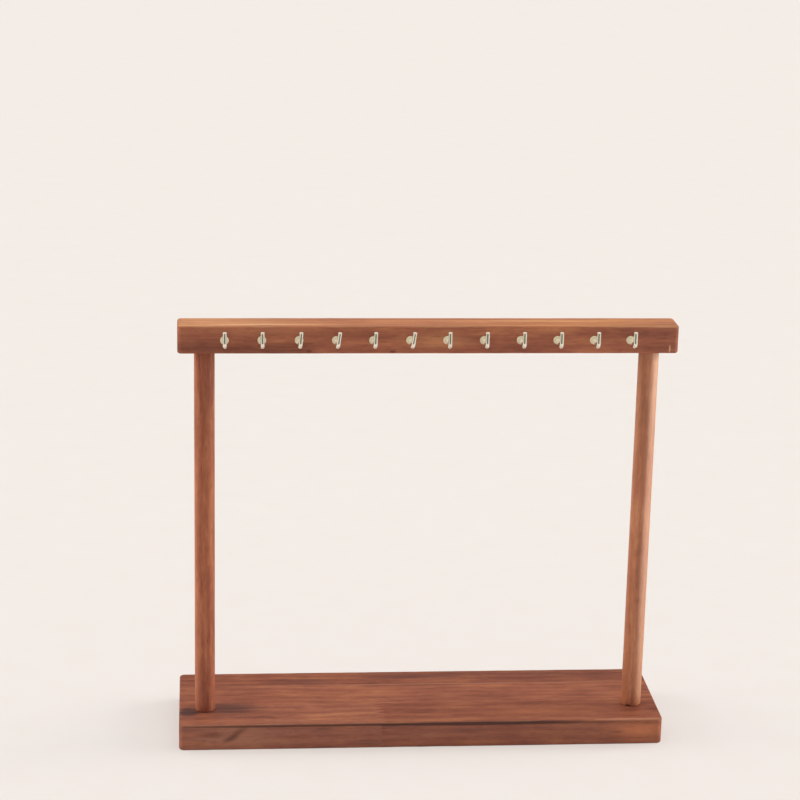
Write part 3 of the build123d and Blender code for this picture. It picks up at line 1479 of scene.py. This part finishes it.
@dataclass
class Studio:
    """Pale paper, broad soft lamps, cards for the reflections and the camera.

    Attributes:
        paper: finish of the floor.
        polished: pieces that the white card's glow passes by, because it would be a hard spot in them.
        floor_size: length of the floor's sides, in metres.
        ambient: sRGB hex of the light from all round.
        ambient_strength: its level.
        backdrop: sRGB hex that stands behind the floor's far edge.
        lamps: the soft lamps.
        cards: a dark one in front, which gives metal a dark core, and a white one for the lacquer's sheen.
    """

    paper: SeamlessPaper
    polished: tuple[Object, ...]
    floor_size: float = 40.0
    ambient: str = "#FFFFFF"
    ambient_strength: float = 0.25
    backdrop: str = "#F1E9E2"
    lamps: tuple[SoftLamp, ...] = (
        SoftLamp("overhead_lamp", azimuth=0.0, elevation=86.0, strength=1.3, spread=100.0),
        SoftLamp("right_lamp", azimuth=98.0, elevation=10.0, strength=3.4, spread=44.0),
        SoftLamp("left_lamp", azimuth=-98.0, elevation=10.0, strength=2.3, spread=44.0),
    )
    cards: tuple[Card, ...] = (
        Card("dark_card", (0.0, -0.98), (1.9, 0.9), 0.002, "#5C6358"),
        Card("white_card", (0.935, -0.345), (1.1, 1.1), 0.003, "#F3EBE4", turn=24.5, glow=5.2),
    )

    def build(self) -> None:
        """Lay the floor and set the world, the cards, the lamps and the camera."""
        bm = bmesh.new()
        bmesh.ops.create_grid(bm, x_segments=1, y_segments=1, size=self.floor_size / 2)
        floor = add_object(bm, "paper_floor", self.paper.material())
        self._light_world()
        spared = self._spare_polished()
        for card in self.cards:
            card.build(spared)
        for lamp in self.lamps:
            lamp.build()
        Camera().build()
        bpy.context.scene.view_settings.view_transform = "Standard"

    def _light_world(self) -> None:
        """Light the world evenly and show the backdrop's colour to the camera and in reflections."""
        world = bpy.data.worlds.new("studio")
        world.use_nodes = True
        tree = world.node_tree
        tree.nodes.clear()
        light = add_node(tree, "Background", {"Color": self.ambient, "Strength": self.ambient_strength})
        backdrop = add_node(tree, "Background", {"Color": self.backdrop, "Strength": 1.0})
        mixed = add_node(tree, "MixShader", {0: seen_rays(tree), 1: light.outputs[0], 2: backdrop.outputs[0]})
        add_node(tree, "OutputWorld", {"Surface": mixed.outputs[0]})
        bpy.context.scene.world = world

    def _spare_polished(self) -> Collection:
        """Gather the pieces that the cards' glow passes by.

        Returns:
            Their collection, which a card's light leaves out.
        """
        spared = bpy.data.collections.new("polished_pieces")
        for piece in self.polished:
            spared.objects.link(piece)
        for item in spared.collection_objects:
            item.light_linking.link_state = "EXCLUDE"
        return spared


def base_wood() -> StainedWood:
    """Choose the base board's wood: three staves, with dark heartwood, rubbed patches, and a painted
    highlight and painted shade along the front's top edge.

    Returns:
        The finish.
    """
    return StainedWood(
        "stained_pine_base",
        seams=(-10.0, 18.5),
        tones=("#FFFFFF", "#FAF6F4", "#EDE6E3", "#EEE6E2"),
        finger_joint=-28.2,
        streaks=Strand(60.0, 4.0),
        fibres=Strand(18.0, 1.1),
        box=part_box("base_board"),
        wear=0.3,
        marks_and_painted_light=(
            WoodMarkOrPaintedLight((75.0, -25.0, 16.5), (55.0, 14.0, 4.0), "#B6704C", 0.45),
            WoodMarkOrPaintedLight((0.0, 31.0, 16.5), (60.0, 9.0, 5.0), "#663C34", 1.0),
            WoodMarkOrPaintedLight((-116.0, -15.0, 16.5), (26.0, 12.0, 6.0), "#4B302F", 0.75, fray=0.8),
            WoodMarkOrPaintedLight((-140.0, -20.0, 16.5), (9.0, 9.0, 6.0), "#3E2E30", 0.75, fray=0.6),
            WoodMarkOrPaintedLight((80.0, 31.0, 16.5), (95.0, 13.0, 8.0), "#5E372F", 0.68),
            WoodMarkOrPaintedLight((-68.0, 26.0, 16.5), (24.0, 6.0, 5.0), "#5F3A37", 0.55),
            WoodMarkOrPaintedLight((10.0, 18.5, 16.5), (190.0, 0.7, 3.0), "#B98A70", 0.5, fray=0.8),
            # Pale line along the front's top edge: rubbed wear, and a painted highlight where the rounding
            # catches the light.
            WoodMarkOrPaintedLight((-20.0, -35.5, 16.5), (180.0, 4.0, 1.2), "#B87756", 0.4),
            WoodMarkOrPaintedLight((0.0, -39.0, 8.0), (900.0, 1.5, 60.0), "#B5908A", 0.14),
            WoodMarkOrPaintedLight((-110.0, -39.0, 8.0), (45.0, 2.0, 12.0), "#B07A62", 0.75),
            WoodMarkOrPaintedLight((132.0, -39.0, 8.0), (28.0, 4.0, 10.0), "#CE8058", 0.9),
            WoodMarkOrPaintedLight((-113.0, -39.0, 9.0), (12.5, 4.0, 3.2), "#4A302B", 0.7, tilt=36.0, fray=1.1),
            WoodMarkOrPaintedLight((-126.0, -39.0, 10.0), (12.0, 4.0, 2.6), "#5A382F", 0.5, fray=0.8),
            # Dark lines just under the front's top edge: painted shade on the rounding's underside.
            WoodMarkOrPaintedLight((-65.0, -39.0, 15.1), (95.0, 2.0, 1.0), "#43302B", 0.75, fray=0.5),
            WoodMarkOrPaintedLight((40.0, -39.0, 15.0), (96.0, 3.0, 1.7), "#46322F", 0.85, fray=0.6),
            # Pale line on the right of the front's top edge: rubbed wear and a painted highlight.
            WoodMarkOrPaintedLight((125.0, -38.6, 16.3), (32.0, 1.4, 1.2), "#C98F70", 0.6, fray=0.6),
            WoodMarkOrPaintedLight((118.0, -39.0, 8.0), (6.0, 3.0, 1.2), "#5A382F", 0.5),
        ),
    )


def left_post_wood() -> StainedWood:
    """Choose the left post's wood: a pale band down its left side and a dark one down its right, which are
    painted light and painted shade, and painted shade at its top under the bar.

    Returns:
        The finish.
    """
    return StainedWood(
        "stained_pine_left_post",
        grain=Grain.ALONG_Z,
        heart=(9.0, 14.0),
        dark="#764336",
        middle="#A05F47",
        light="#C17E5C",
        roughness=0.45,
        gloss=0.05,
        marks_and_painted_light=(
            # Painted shade: darker at the top, under the bar.
            WoodMarkOrPaintedLight((-128.0, -21.0, 216.0), (5.0, 12.0, 36.0), "#5E382C", 0.5),
            WoodMarkOrPaintedLight((-126.0, -20.0, 150.0), (4.0, 12.0, 30.0), "#C08058", 0.45),
            # Painted light down the left side and painted shade down the right side.
            WoodMarkOrPaintedLight((-136.0, -17.0, 110.0), (3.5, 12.0, 140.0), "#C9825C", 0.65),
            WoodMarkOrPaintedLight((-124.5, -15.0, 130.0), (2.5, 12.0, 140.0), "#8A5240", 0.5),
        ),
    )


def right_post_wood() -> StainedWood:
    """Choose the right post's wood: paler than the left one, partly as painted light for the stronger light
    on it, with a painted highlight down its right side and a dark mark at its foot.

    Returns:
        The finish.
    """
    return StainedWood(
        "stained_pine_right_post",
        grain=Grain.ALONG_Z,
        heart=(-8.0, 18.0),
        # Paler than the left post: partly its own tone, partly painted light.
        dark="#84503A",
        middle="#AC6A49",
        light="#C88A60",
        roughness=0.5,
        gloss=0.4,
        marks_and_painted_light=(
            # Painted highlight: a pale band down the right side and a paler patch at its top, for the light
            # from the right.
            WoodMarkOrPaintedLight((135.0, -19.5, 130.0), (5.5, 7.0, 300.0), "#D8A07A", 0.55),
            WoodMarkOrPaintedLight((134.5, -20.0, 225.0), (5.5, 7.0, 75.0), "#EAB892", 0.5),
            WoodMarkOrPaintedLight((124.5, -18.5, 205.0), (3.0, 8.0, 70.0), "#C98A62", 0.5),
            WoodMarkOrPaintedLight((127.5, -20.5, 17.1), (2.2, 3.0, 1.3), "#4A2C24", 0.85, fray=0.6),
        ),
    )


def bar_wood() -> StainedWood:
    """Choose the bar's wood: a top painted pale as a painted sheen, with a few streaks, and small knots low
    on its face.

    Returns:
        The finish.
    """
    return StainedWood(
        "stained_pine_bar",
        heart=(-120.0, 320.0),
        dark="#784639",
        middle="#A5644C",
        light="#C8835B",
        box=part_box("top_bar"),
        marks_and_painted_light=(
            WoodMarkOrPaintedLight((-100.0, -25.0, 255.5), (60.0, 4.0, 6.0), "#B87858", 0.7),
            WoodMarkOrPaintedLight((-130.0, -25.0, 243.0), (60.0, 4.0, 8.5), "#6B4034", 0.35, fray=0.5),
            WoodMarkOrPaintedLight((-84.0, -25.0, 243.5), (20.0, 4.0, 5.5), "#6B4034", 0.35, fray=0.5),
            WoodMarkOrPaintedLight((5.0, -25.0, 249.0), (28.0, 4.0, 9.0), "#C88A60", 0.8),
            WoodMarkOrPaintedLight((-70.0, -25.0, 242.5), (2.2, 3.0, 1.2), "#5A2E28", 0.6, fray=0.6),
            WoodMarkOrPaintedLight((-21.5, -25.0, 242.3), (2.5, 3.0, 1.3), "#5A2E28", 0.6, fray=0.6),
            # Painted sheen: the whole top, and its left end most, painted paler for the light that glances
            # off it.
            WoodMarkOrPaintedLight((0.0, -15.0, 257.9), (600.0, 60.0, 1.2), "#E5A167", 0.45),
            WoodMarkOrPaintedLight((-125.0, -15.0, 257.9), (75.0, 40.0, 1.2), "#F2B680", 0.6),
            WoodMarkOrPaintedLight((95.0, -15.0, 257.9), (90.0, 40.0, 1.2), "#F0AC62", 0.35),
            WoodMarkOrPaintedLight((-20.0, -8.5, 257.9), (120.0, 2.2, 1.5), "#A05A3C", 0.6, fray=0.8),
            WoodMarkOrPaintedLight((75.0, -19.0, 257.9), (90.0, 2.0, 1.5), "#A8623C", 0.55, fray=0.8),
            WoodMarkOrPaintedLight((-95.0, -20.5, 257.9), (50.0, 2.2, 1.5), "#FFD2A0", 0.7, fray=0.8),
            WoodMarkOrPaintedLight((60.0, -12.5, 257.9), (80.0, 2.2, 1.5), "#F2B47C", 0.65, fray=0.8),
            WoodMarkOrPaintedLight((140.3, -25.0, 244.0), (0.7, 1.5, 3.0), "#D39A7A", 0.95, fray=0.6),
        ),
    )


def pin_wood() -> StainedWood:
    """Choose the dowel pins' wood: bare beech.

    Returns:
        The finish.
    """
    return StainedWood(
        "bare_beech_dowel",
        grain=Grain.ALONG_Z,
        heart=(5.0, 9.0),
        dark="#B58A62",
        middle="#CDA67C",
        light="#DDBB93",
        soaked="#A98058",
    )


def main() -> None:
    """Build the stand piece by piece, then the studio."""
    logging.basicConfig(level=logging.INFO, format="%(message)s")
    BaseBoard("base_board", base_wood(), edge_radius=1.0, corner_radius=3.0).build()
    Post("left", left_post_wood()).build()
    Post("right", right_post_wood()).build()
    TopBar("top_bar", bar_wood(), edge_radius=1.2, corner_radius=2.5).build()
    nickel = PlatedMetal(
        "polished_nickel_wire", colour="#EFECDD", haze="#E4E0CF", smooth=0.12, dull=0.18,
        wood_face=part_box("top_bar")[0].y / MM,
    ).material()
    hooks = tuple(ScrewHook(number=number).build(nickel) for number in range(1, HOOK_COUNT + 1))
    zinc = PlatedMetal(
        "zinc_plated_screw_steel", colour="#C9CBC6", haze="#A9ABA6", smooth=0.28, dull=0.45
    ).material()
    for side in SIDES:
        BaseScrew(side=side).build(zinc)
    DowelPins(pin_wood()).dress()
    Studio(SeamlessPaper(), hooks).build()


if __name__ == "__main__":
    main()
